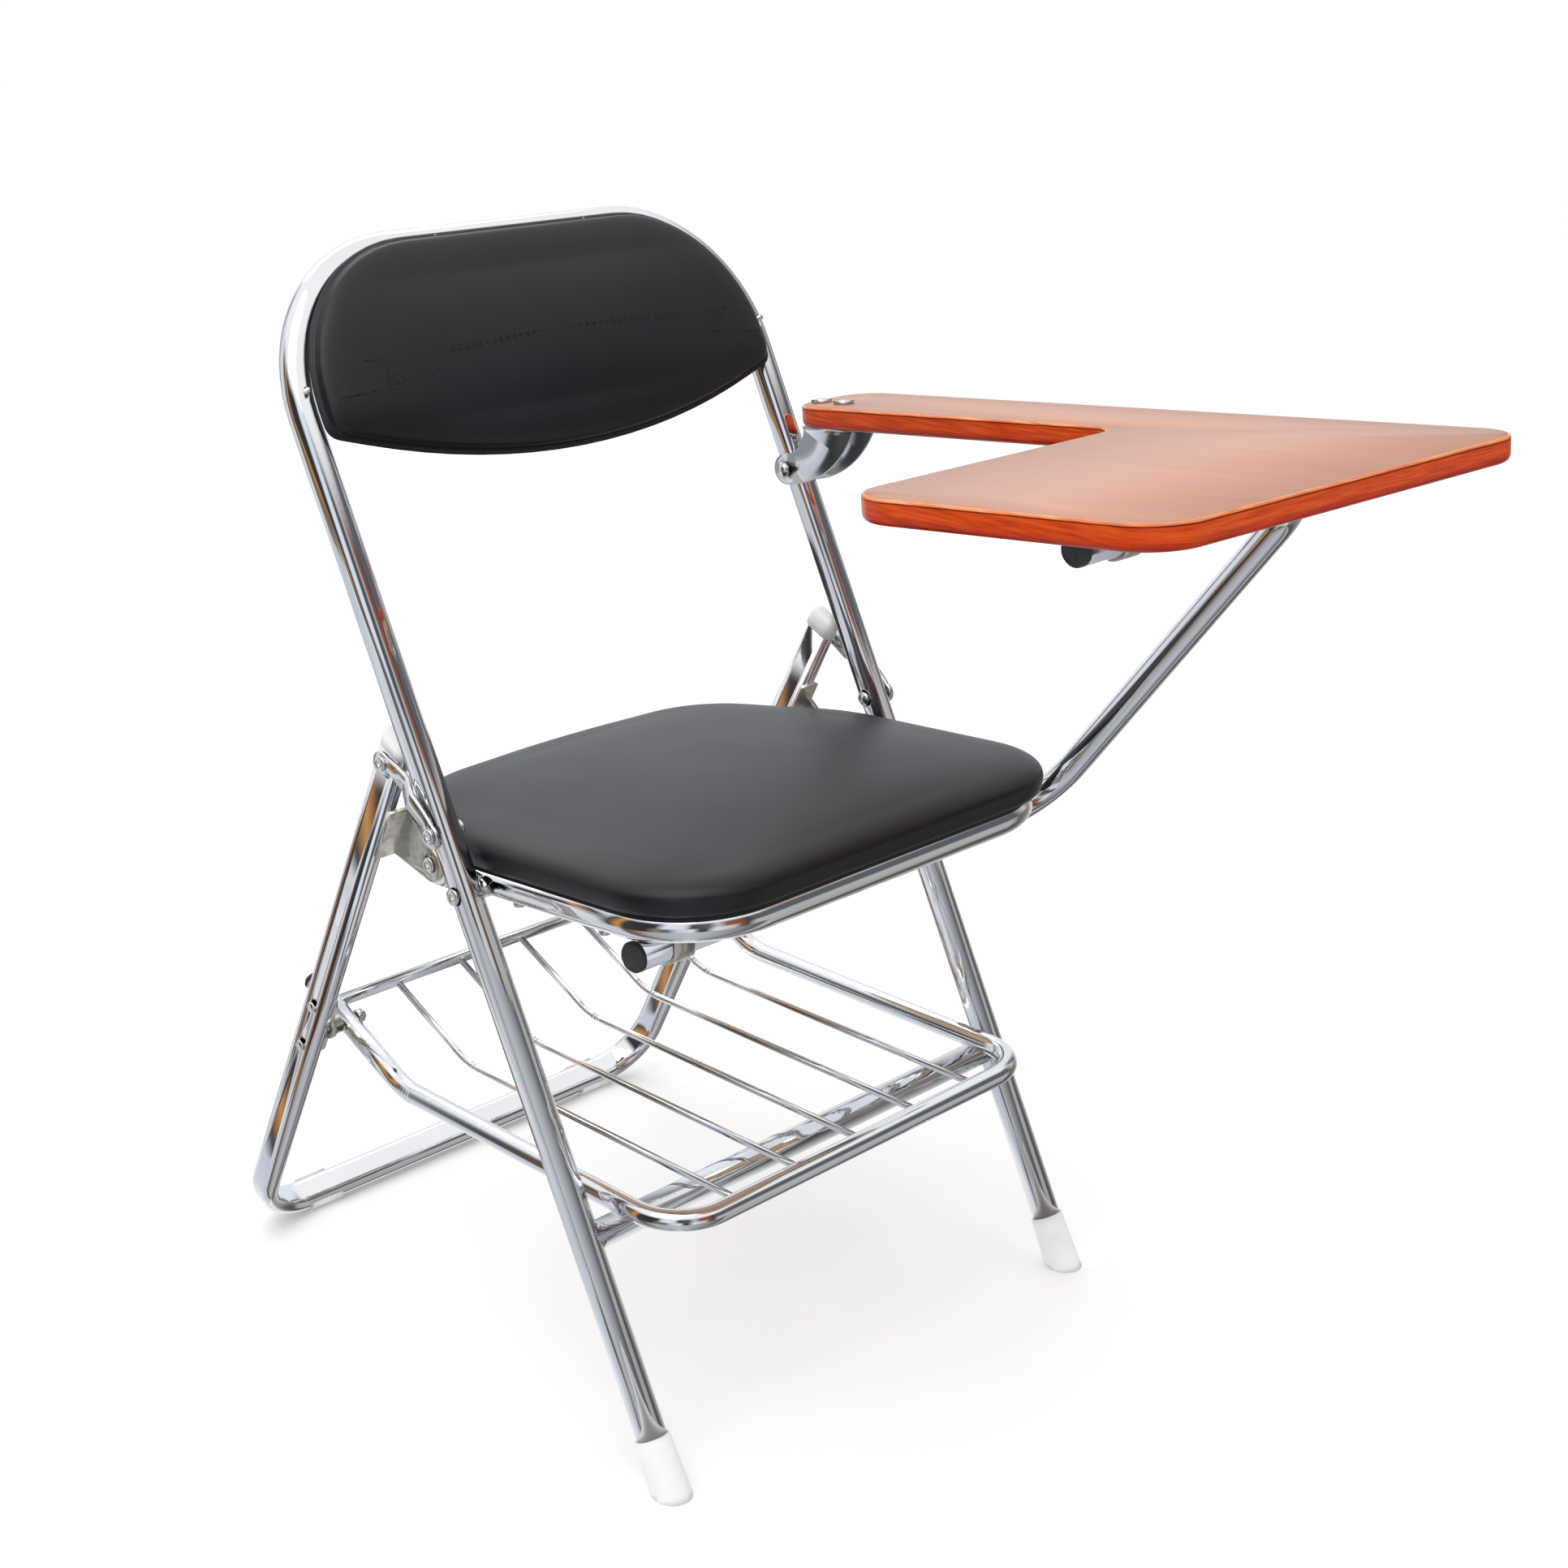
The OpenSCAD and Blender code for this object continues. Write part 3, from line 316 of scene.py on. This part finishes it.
def plywood():
    """Bare wood in the middle; along the border the covering is turned under and stapled."""
    m = Mat("plywood", (0.55, 0.4, 0.25), 0.6)
    v = m.mapping(scale=(1, 9, 9))
    grain = m.noise(v, 12, 6, 0.6)
    wood = m.ramp(grain, [(0.3, (0.42, 0.28, 0.16)), (0.7, (0.62, 0.46, 0.29))])
    hem = m.node("ShaderNodeMath", operation="MAXIMUM")
    m.link(past(m, (1, 0, 0), 166 * MM, both=True), hem.inputs[0])
    m.link(past(m, (0, -1, 0), 174 * MM), hem.inputs[1])
    mix = m.node("ShaderNodeMix", data_type="RGBA")
    m.link(hem.outputs[0], mix.inputs["Factor"])
    m.link(wood, mix.inputs["A"])
    mix.inputs["B"].default_value = (0.008, 0.009, 0.011, 1)
    m.use("Base Color", mix.outputs["Result"])
    m.use("Normal", m.bump(grain, 0.2, 0.0004))
    return m.mat


def laminate():
    m = Mat("wood_laminate", (0.57, 0.33, 0.24), 0.36)
    grain = m.noise(m.mapping(scale=(14, 1.1, 1)), 8, 8, 0.62)
    broad = m.noise(m.mapping(scale=(5, 0.7, 1)), 5, 3)
    tone = m.ramp(grain, [(0.25, (0.55, 0.292, 0.206)), (0.5, (0.58, 0.318, 0.230)),
                          (0.8, (0.605, 0.34, 0.25))])
    mix = m.node("ShaderNodeMix", data_type="RGBA", blend_type="MULTIPLY")
    mix.inputs["Factor"].default_value = 0.2
    m.link(tone, mix.inputs["A"])
    m.link(m.ramp(broad, [(0.35, (0.88, 0.86, 0.85)), (0.65, (1, 1, 1))]), mix.inputs["B"])
    m.use("Base Color", mix.outputs["Result"])
    m.use("Roughness", m.span(grain, 0.36, 0.45))
    m.bsdf.inputs["Specular IOR Level"].default_value = 0.15
    m.use("Normal", m.bump(m.noise(m.mapping(scale=(60, 6, 1)), 12, 4), 0.05, 0.0002))
    return m.mat


def height_in(m, plane, low, high):
    """0 to 1 between two heights above a plane; it stays on the piece as the piece moves."""
    normal = plane.to_3x3() @ Vector((0, 0, 1))
    dot = m.node("ShaderNodeVectorMath", operation="DOT_PRODUCT")
    dot.inputs[1].default_value = normal
    m.link(m.coord.outputs["Object"], dot.inputs[0])
    span = m.node("ShaderNodeMapRange")
    base = plane.translation.dot(normal)
    span.inputs["From Min"].default_value = base + low
    span.inputs["From Max"].default_value = base + high
    m.link(dot.outputs["Value"], span.inputs["Value"])
    return span.outputs["Result"]


def edge_wood():
    m = Mat("varnished_edge", (0.45, 0.10, 0.015), 0.22)
    v = m.mapping(rotation=(math.radians(TABLET_TILT), 0, 0), scale=(1.0, 1.0, 18))
    grain = m.noise(v, 30, 8, 0.6)
    wood = m.ramp(grain, [(0.26, (0.28, 0.022, 0.002)), (0.5, (0.51, 0.048, 0.003)),
                          (0.76, (0.66, 0.10, 0.006))])
    height = height_in(m, TABLET_PLANE, 0.0, TABLET_T)
    # Painted light, multiplied over the wood by height up the edge: darker and purplish towards the bottom as
    # painted shade on the underside of the round-over, plain through the middle, a thin dark line where the side
    # meets the small top round, and a lighter, paler line along the top round as a painted highlight.
    shade_and_highlight_band = m.ramp(height, [(0.0, (0.42, 0.30, 0.55)), (0.22, (0.72, 0.45, 0.5)),
                           (0.42, (1, 1, 1)), (0.84, (1.0, 1.05, 1.1)), (0.875, (0.25, 0.2, 0.2)),
                           (0.90, (0.3, 0.25, 0.25)), (0.925, (1.5, 4.2, 22.0)),
                           (1.0, (1.5, 4.4, 24.0))])
    mix = m.node("ShaderNodeMix", data_type="RGBA", blend_type="MULTIPLY")
    mix.inputs["Factor"].default_value = 1.0
    m.link(wood, mix.inputs["A"])
    m.link(shade_and_highlight_band, mix.inputs["B"])
    m.use("Base Color", mix.outputs["Result"])
    m.use("Roughness", m.span(m.noise(v, 20, 3), 0.2, 0.3))
    m.use("Normal", m.bump(grain, 0.08, 0.0003))
    m.bsdf.inputs["Coat Weight"].default_value = 0.06
    m.bsdf.inputs["Specular IOR Level"].default_value = 0.18
    m.bsdf.inputs["Coat Roughness"].default_value = 0.14
    return m.mat


MATERIALS = {
    "chrome_tube": chrome("chrome_tube", (0.86, 0.87, 0.89), 0.07),
    "chrome_wire": chrome("chrome_wire", (0.84, 0.85, 0.87), 0.1),
    "chrome_hardware": chrome("chrome_hardware", (0.80, 0.80, 0.78), 0.14),
    "chrome_bracket": chrome("chrome_bracket", (0.80, 0.82, 0.84), 0.2),
    "white_plastic": plastic("white_plastic", (0.86, 0.86, 0.85), 0.38),
    "black_vinyl": leather(),
    "plywood": plywood(),
    "zinc_plate": zinc(),
    "black_rubber": rubber(),
    "wood_laminate": laminate(),
    "varnished_edge": edge_wood(),
}


def give(obj, slot):
    obj.data.materials.clear()
    obj.data.materials.append(MATERIALS[slot])
    for poly in obj.data.polygons:
        poly.material_index = 0


SMOOTH_ANGLE = 32
for part in frame["record"]["subparts"]:
    node = NODES[part["node"]]
    give(node, part["material_slot"])
    weld = node.modifiers.new("weld", "WELD")
    weld.merge_threshold = 1e-6
    smooth(node, SMOOTH_ANGLE)


# ---- cushions ----
CROWN_REACH = 1.12


def cushion_rings(outline, profile, crown, roll_from, crown_steps):
    """Rings from the wrapped lower edge, over the rolled side, to the crowned top.
    outline(d) is the pad's outline a distance d inside its edge. The crown is one smooth
    dome over the whole pad, which fades in over the roll, from the height roll_from up."""
    rings = [[Vector((p.x, p.y, z)) for p in outline(d)] for d, z in profile]
    edge = [p.to_2d() for p in rings[-1]]
    z_last = profile[-1][1]
    centre = sum(edge, Vector((0, 0))) / len(edge)
    half_x = max(abs(p.x - centre.x) for p in edge) * CROWN_REACH
    half_y = max(abs(p.y - centre.y) for p in edge) * CROWN_REACH
    for k in range(1, crown_steps):
        t = k / crown_steps
        rings.append([Vector((*p.lerp(centre, t), z_last)) for p in edge])
    for ring in rings:
        for p in ring:
            fade = min(max((p.z - roll_from) / (z_last - roll_from), 0.0), 1.0)
            across = max(1 - ((p.x - centre.x) / half_x) ** 2, 0.0)
            along = max(1 - ((p.y - centre.y) / half_y) ** 2, 0.0)
            p.z += crown * across * along * fade * fade * (3 - 2 * fade)
    return rings


EASE_REACH = 22 * MM


def eased(obj, moves):
    """Moves of the skin averaged with those within a few centimetres, weighed by area, so
    only the broad swell is left, whatever the mesh's density."""
    mesh = obj.data
    area = np.zeros(len(mesh.vertices))
    for poly in mesh.polygons:
        for i in poly.vertices:
            area[i] += poly.area / len(poly.vertices)
    area[-2] = 0.0        # the middle of the underside, whose faces span the whole piece
    at = np.array([v.co[:] for v in mesh.vertices])
    moves = np.array([m[:] for m in moves])
    out = np.zeros_like(moves)
    for k in range(0, len(at), 500):
        gap = ((at[k:k + 500, None, :] - at[None, :, :]) ** 2).sum(2)
        weight = np.exp(-gap / (2 * EASE_REACH ** 2)) * area
        out[k:k + 500] = weight @ moves / weight.sum(1, keepdims=True)
    return [Vector(m) for m in out]


def puff(obj, pressure, cap, pinned):
    """Blows the closed skin up a little with a cloth simulation, and caps its moves."""
    rest = [v.co.copy() for v in obj.data.vertices]
    group = obj.vertex_groups.new(name="held")
    group.add([i for i, held in enumerate(pinned) if held], 1.0, "REPLACE")
    cloth = obj.modifiers.new("cloth", "CLOTH")
    s = cloth.settings
    s.quality = 5
    s.mass = 0.4
    s.tension_stiffness = 25
    s.compression_stiffness = 25
    s.shear_stiffness = 8
    s.bending_stiffness = 1.5
    s.use_pressure = True
    s.uniform_pressure_force = pressure
    s.vertex_group_mass = "held"
    s.effector_weights.gravity = 0
    cloth.point_cache.frame_start = 1
    cloth.point_cache.frame_end = 20
    scene = bpy.context.scene
    for f in range(1, 21):
        scene.frame_set(f)
    moved = obj.evaluated_get(bpy.context.evaluated_depsgraph_get())
    new = [v.co.copy() for v in moved.data.vertices]
    obj.modifiers.remove(cloth)
    scene.frame_set(1)
    moves = eased(obj, [b - a for a, b in zip(rest, new)])
    scale = min(1.0, cap / max(m.length for m in moves))
    for v, a, step in zip(obj.data.vertices, rest, moves):
        v.co = a + step * scale
    obj.vertex_groups.clear()
    obj.data.update()


def finish_soft(obj, body, *nodes, fill):
    sub = obj.modifiers.new("sub", "SUBSURF")
    sub.levels = 1
    sub.render_levels = 1
    give(obj, "black_vinyl")
    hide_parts(*nodes)
    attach(obj, body)


def shoulder(d0, z0, d1, z1, steps):
    """Profile points from a vertical side, over a soft shoulder, to a flat top."""
    out = []
    for k in range(1, steps + 1):
        t = (k / steps) ** 1.7
        out.append((d0 + (d1 - d0) * t, z0 + (z1 - z0) * math.sqrt(1 - (1 - t) ** 3)))
    return out


TUBE_R = 11 * MM
SEAT_HALF = 203
SEAT_FRONT = 211
SEAT_BACK = 166
SEAT_RING = 220


def seat_outline(d):
    g = -d / MM
    half = SEAT_HALF + g
    points = [(0, -SEAT_FRONT - g), (half, -SEAT_FRONT - g), (half, 22),
              (152 + g, SEAT_BACK - 6 + g), (0, SEAT_BACK + 4 + g), (-152 - g, SEAT_BACK - 6 + g),
              (-half, 22), (-half, -SEAT_FRONT - g)]
    radii = [0, 78, 140, 84, 900 + 7 * g, 84, 140, 78]
    radii = [r and max(r + g, 24) for r in radii]
    return even(rounded(vec2(*points), [r * MM for r in radii], 16), SEAT_RING)


def seat_cushion():
    base = TUBE_R + 0.1 * MM
    profile = [(7.3 * MM, TUBE_R + 8.3 * MM), (7.3 * MM, base + 0.6 * MM), (7.3 * MM, base),
               (6.7 * MM, base), (4.8 * MM, base + 0.3 * MM), (3.0 * MM, base + 1.7 * MM),
               (1.5 * MM, base + 4.4 * MM), (0.6 * MM, base + 8 * MM), (0.3 * MM, base + 12 * MM)]
    profile += shoulder(0.3 * MM, base + 12 * MM, 62 * MM, base + 28 * MM, 16)
    rings = cushion_rings(seat_outline, profile, 8 * MM, base + 12 * MM, 14)
    obj = rings_mesh("seat_cushion", rings, True, True, SEAT_PLANE)
    held = [z_of(SEAT_PLANE, v.co) < base + 3 * MM for v in obj.data.vertices]
    held[-2] = True
    puff(obj, 2.5, 3 * MM, held)
    finish_soft(obj, "seat", "seat_pad", fill=0.8)


def z_of(matrix, co):
    return (matrix.inverted() @ co).z


BACK_HALF = 212.5
BACK_TOP = 898
BACK_LOW = 727
BACK_CORNER_REACH = 27
BACK_LOW_R = 600
BACK_ARC_STEPS = 8
BACK_RING = 240


def back_outline(d):
    g = -d / MM
    r = BACK_LOW_R + g
    half = BACK_HALF + g
    rise = math.asin((half - BACK_CORNER_REACH) / r)
    turns = [rise * k / BACK_ARC_STEPS for k in range(BACK_ARC_STEPS + 1)]
    right = [(r * math.sin(a), BACK_LOW + BACK_LOW_R - r * math.cos(a)) for a in turns]
    side = right[-1][1] + (half - right[-1][0]) * math.tan(rise)
    left = [(-x, y) for x, y in reversed(right[1:])]
    points = right + [(half, side), (half, BACK_TOP + g), (-half, BACK_TOP + g), (-half, side)] + left
    low_r = max(10 + g, min(10 - g, 26))
    radii = [0] * len(right) + [low_r, 112 + g, 112 + g, low_r] + [0] * len(left)
    return even(rounded(vec2(*points), [q * MM for q in radii], 12), BACK_RING)


def back_cushion():
    base = TUBE_R + 0.4 * MM
    profile = [(6.4 * MM, TUBE_R + 6.2 * MM), (6.4 * MM, base), (2.4 * MM, base),
               (0.6 * MM, base + 0.6 * MM), (0.0, base + 1.8 * MM), (0.5 * MM, base + 3 * MM),
               (2.6 * MM, base + 3.7 * MM), (3.8 * MM, base + 4.8 * MM),
               (4.2 * MM, base + 7 * MM)]
    profile += shoulder(4.2 * MM, base + 7 * MM, 40 * MM, base + 14.5 * MM, 12)
    rings = cushion_rings(back_outline, profile, 5 * MM, base + 7 * MM, 14)
    obj = rings_mesh("back_cushion", rings, True, True, BACK_PLANE)
    held = [z_of(BACK_PLANE, v.co) < base + 4 * MM for v in obj.data.vertices]
    held[-2] = True
    puff(obj, 2.0, 2 * MM, held)
    finish_soft(obj, "main", "backrest_pad", fill=0.8)


seat_cushion()
back_cushion()


# ---- camera, light and floor ----
CAMERA_TURN = -45.2
CAMERA_LIFT = 22.0
CAMERA_FROM = Vector((-1162.12, -1052.53, 1034.34)) * MM
LENS_PER_WIDTH = 2997.5 / 1932
SENSOR = 36.0


def make_camera():
    cam = bpy.data.cameras.new("camera")
    cam.sensor_width = SENSOR
    cam.lens = LENS_PER_WIDTH * SENSOR
    cam.shift_x = -0.0018
    cam.shift_y = 0.0592
    obj = bpy.data.objects.new("camera", cam)
    bpy.context.scene.collection.objects.link(obj)
    turn, lift = math.radians(CAMERA_TURN), math.radians(CAMERA_LIFT)
    back = Vector((math.sin(turn) * math.cos(lift), -math.cos(turn) * math.cos(lift),
                   math.sin(lift)))
    obj.location = ORIGIN + CAMERA_FROM
    obj.rotation_mode = "QUATERNION"
    obj.rotation_quaternion = (-back).to_track_quat("-Z", "Y")
    bpy.context.scene.camera = obj


def area_light(name, place_at, target, size, power, color=(1, 1, 1)):
    light = bpy.data.lights.new(name, "AREA")
    light.shape = "RECTANGLE"
    light.size = size[0]
    light.size_y = size[1]
    light.energy = power
    light.color = color
    obj = bpy.data.objects.new(name, light)
    bpy.context.scene.collection.objects.link(obj)
    obj.location = place_at
    obj.rotation_mode = "QUATERNION"
    obj.rotation_quaternion = (Vector(target) - Vector(place_at)).to_track_quat("-Z", "Y")


def make_floor():
    mesh = bpy.data.meshes.new("floor")
    r = 14.0
    n = 96
    verts = [(r * math.cos(2 * math.pi * i / n), r * math.sin(2 * math.pi * i / n), 0.0)
             for i in range(n)]
    mesh.from_pydata(verts, [], [tuple(range(n))])
    floor = bpy.data.objects.new("floor", mesh)
    bpy.context.scene.collection.objects.link(floor)
    m = Mat("floor_paper", (0.985, 0.985, 0.985), 0.9)
    v = m.mapping()
    m.use("Base Color", m.ramp(m.noise(v, 2, 2), [(0.3, (0.982, 0.982, 0.982)),
                                                  (0.7, (0.988, 0.988, 0.988))]))
    floor.data.materials.append(m.mat)
    floor.visible_glossy = False


def make_world():
    world = bpy.data.worlds.new("studio")
    bpy.context.scene.world = world
    world.use_nodes = True
    back = world.node_tree.nodes["Background"]
    back.inputs["Color"].default_value = (1.0, 1.0, 1.0, 1)
    back.inputs["Strength"].default_value = 1.03


# What stands round the studio, as shiny parts see it. Turn runs from the -X side over -Y and
# +X to +Y; each stop is a turn from 0 to 1 and a colour.
WALLS = [(0.0, (0.03, 0.03, 0.035)), (0.025, (0.05, 0.055, 0.06)), (0.05, (0.80, 0.88, 0.98)),
         (0.10, (0.75, 0.82, 0.92)), (0.12, (0.07, 0.07, 0.08)), (0.165, (0.12, 0.12, 0.13)),
         (0.19, (0.55, 0.56, 0.6)), (0.215, (0.30, 0.11, 0.06)), (0.255, (0.24, 0.09, 0.055)),
         (0.275, (0.06, 0.06, 0.07)), (0.30, (0.11, 0.12, 0.14)), (0.43, (0.12, 0.13, 0.15)),
         (0.48, (0.62, 0.60, 0.56)), (0.52, (0.10, 0.10, 0.11)), (0.56, (0.86, 0.90, 0.97)),
         (0.73, (0.90, 0.94, 1.0)), (0.77, (0.25, 0.26, 0.28)), (0.80, (0.80, 0.82, 0.85)),
         (0.86, (0.72, 0.75, 0.80)), (0.885, (0.05, 0.05, 0.055)), (0.915, (0.62, 0.30, 0.10)),
         (0.935, (0.05, 0.05, 0.055)), (1.0, (0.03, 0.03, 0.035))]
SKIRT = [(0.0, (0.06, 0.03, 0.015)), (0.025, (0.26, 0.20, 0.17)), (0.06, (0.12, 0.15, 0.22)),
         (0.085, (0.62, 0.64, 0.68)), (0.125, (0.80, 0.82, 0.85)), (0.143, (0.06, 0.06, 0.07)),
         (0.16, (0.07, 0.06, 0.06)), (0.185, (0.80, 0.80, 0.80)), (0.235, (0.60, 0.58, 0.57)),
         (0.255, (0.24, 0.10, 0.06)), (0.275, (0.08, 0.06, 0.05)), (0.30, (0.50, 0.50, 0.48)), (0.40, (0.46, 0.47, 0.46)),
         (0.44, (0.14, 0.13, 0.13)), (0.50, (0.34, 0.24, 0.17)), (0.56, (0.86, 0.90, 0.97)),
         (0.73, (0.90, 0.94, 1.0)), (0.77, (0.25, 0.26, 0.28)), (0.80, (0.80, 0.82, 0.85)),
         (0.86, (0.72, 0.75, 0.80)), (0.885, (0.05, 0.05, 0.055)), (0.915, (0.62, 0.30, 0.10)),
         (0.935, (0.05, 0.05, 0.055)), (1.0, (0.06, 0.03, 0.015))]
GROUND = [(0.0, (0.40, 0.42, 0.45)), (0.12, (0.55, 0.57, 0.6)), (0.25, (0.30, 0.31, 0.33)),
          (0.33, (0.10, 0.10, 0.105)), (0.355, (0.46, 0.46, 0.45)), (0.40, (0.40, 0.40, 0.40)),
          (0.42, (0.10, 0.09, 0.085)), (0.46, (0.12, 0.11, 0.105)), (0.54, (0.5, 0.5, 0.5)),
          (0.62, (0.92, 0.93, 0.94)), (0.78, (0.85, 0.87, 0.9)), (0.86, (0.60, 0.65, 0.72)),
          (0.91, (0.62, 0.66, 0.72)), (0.93, (0.13, 0.11, 0.09)), (0.96, (0.24, 0.15, 0.08)),
          (1.0, (0.40, 0.42, 0.45))]


def make_surround():
    """A dome only reflections see, so polished tubes have a room to mirror."""
    bpy.ops.mesh.primitive_uv_sphere_add(segments=48, ring_count=24, radius=6.0)
    dome = bpy.context.object
    dome.name = "surround"
    for flag in ("camera", "diffuse", "shadow", "transmission", "volume_scatter"):
        setattr(dome, "visible_" + flag, False)
    m = Mat("surround", (0, 0, 0), 1.0)
    tree = m.tree
    unit_v = m.node("ShaderNodeVectorMath", operation="NORMALIZE")
    m.link(m.coord.outputs["Object"], unit_v.inputs[0])
    split = m.node("ShaderNodeSeparateXYZ")
    m.link(unit_v.outputs["Vector"], split.inputs["Vector"])
    turn = m.node("ShaderNodeMath", operation="ARCTAN2")
    m.link(split.outputs["Y"], turn.inputs[0])
    m.link(split.outputs["X"], turn.inputs[1])
    part = m.node("ShaderNodeMapRange")
    part.inputs["From Min"].default_value = -math.pi
    part.inputs["From Max"].default_value = math.pi
    m.link(turn.outputs[0], part.inputs["Value"])
    walls = m.ramp(part.outputs["Result"], WALLS)
    ground = m.ramp(part.outputs["Result"], GROUND)

    def step(low, high, below, above):
        s = m.node("ShaderNodeMapRange", interpolation_type="SMOOTHSTEP")
        s.inputs["From Min"].default_value = low
        s.inputs["From Max"].default_value = high
        m.link(split.outputs["Z"], s.inputs["Value"])
        mix = m.node("ShaderNodeMix", data_type="RGBA")
        m.link(s.outputs["Result"], mix.inputs["Factor"])
        m.link(below, mix.inputs["A"])
        if above is None:
            mix.inputs["B"].default_value = (1.0, 1.0, 1.0, 1)
        else:
            m.link(above, mix.inputs["B"])
        return mix.outputs["Result"]

    skirt = m.ramp(part.outputs["Result"], SKIRT)
    color = step(0.50, 0.70, step(0.02, 0.16, step(-0.34, -0.28, ground, skirt), walls), None)
    glow = m.node("ShaderNodeEmission")
    m.link(color, glow.inputs["Color"])
    m.link(glow.outputs["Emission"], tree.nodes["Material Output"].inputs["Surface"])
    dome.data.materials.append(m.mat)


make_camera()
make_floor()
make_world()
make_surround()
area_light("key", (-1.4, -0.4, 3.2), (0, 0, 0.4), (2.4, 2.4), 26)
area_light("rear", (0.9, 2.2, 2.8), (0, 0, 0.4), (2.4, 1.4), 18)
bpy.context.scene.view_settings.view_transform = "Standard"
